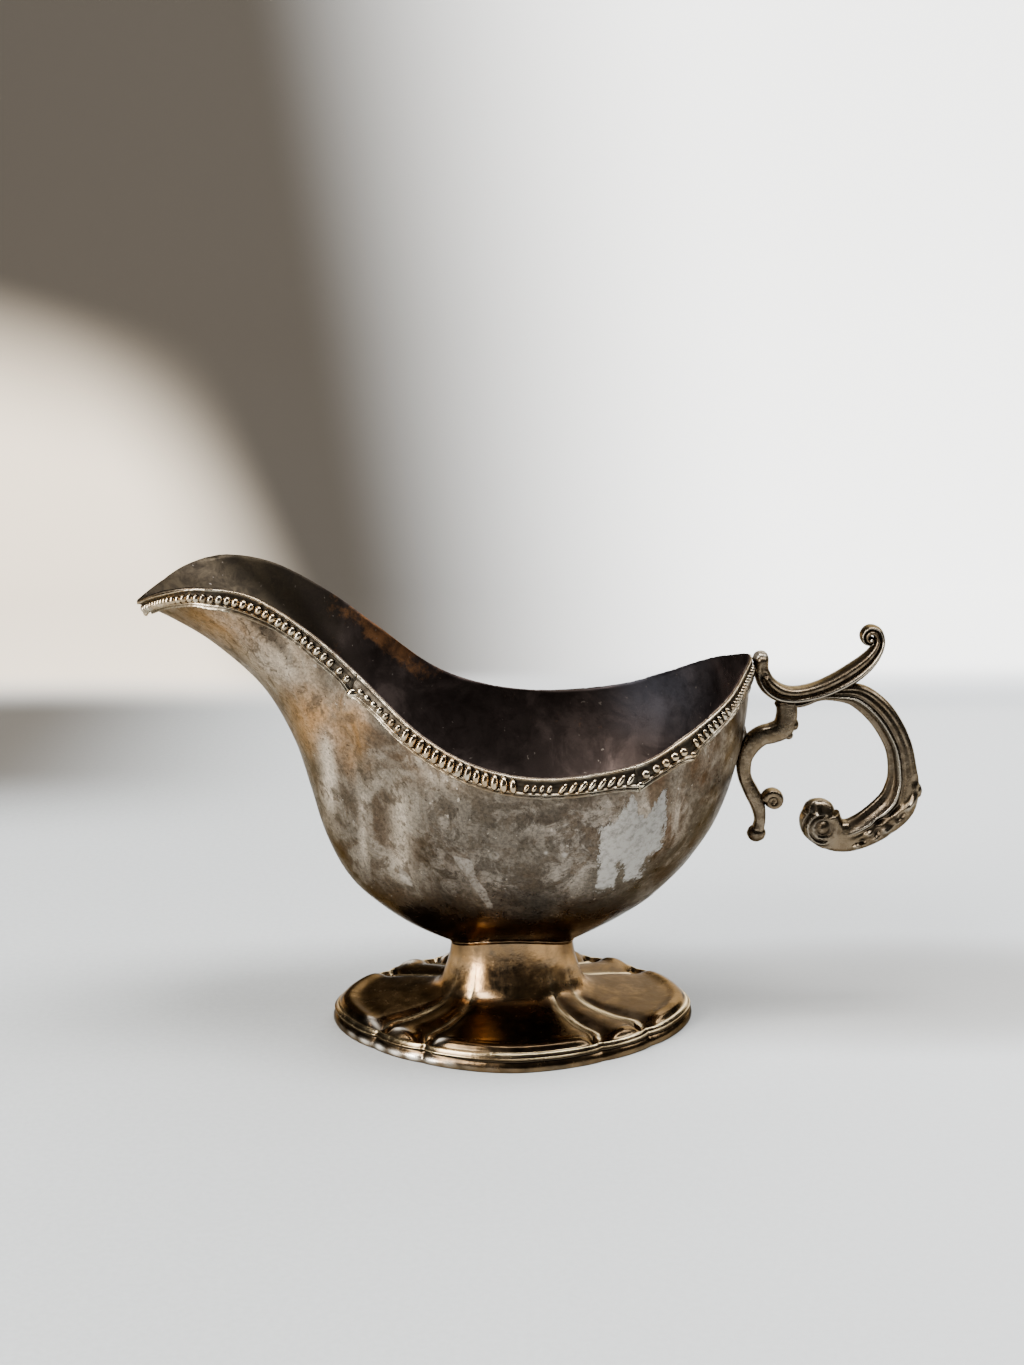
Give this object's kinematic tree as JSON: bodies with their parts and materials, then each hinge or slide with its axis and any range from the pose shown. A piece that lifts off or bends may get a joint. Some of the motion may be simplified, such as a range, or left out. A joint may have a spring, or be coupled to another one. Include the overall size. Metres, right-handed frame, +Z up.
{
  "type": "silver sauce boat",
  "caption": "Footed sauce boat with a long raised pouring lip, a gadrooned border, a lobed oval pedestal foot and a cast scroll handle.",
  "frame": {"origin": "on the table, under the middle of the object's bounding box", "axes": "+X towards the handle, so the pouring lip points along -X; +Y across the bowl; +Z up"},
  "size_m": [0.1912, 0.094, 0.1146],
  "materials": {
    "plate": "worn and tarnished silver plate over brass, satin with bright rubbed places",
    "border": "cast plated border, bright on its beads and dark in its hollows",
    "bare_brass": "plate worn through to brass, glossy and dark brown with golden high places",
    "cast": "cast scrolls, rubbed bright along their ridges and brown in their hollows",
    "solder": "dull grey solder"
  },
  "bodies": {
    "root": {"border_back_far": "border", "border_back_near": "border", "border_side_far": "border", "border_side_near": "border", "border_spout_far": "border", "border_spout_near": "border", "bowl": "plate", "bracket_solder": "solder", "c_scroll": "cast", "c_scroll_shell": "cast", "foot": "bare_brass", "foot_band": "bare_brass", "foot_solder": "solder", "scroll_solder": "solder", "tail_curl": "cast", "thumb_scroll": "cast", "wall_bracket": "cast"}
  },
  "joints": []
}
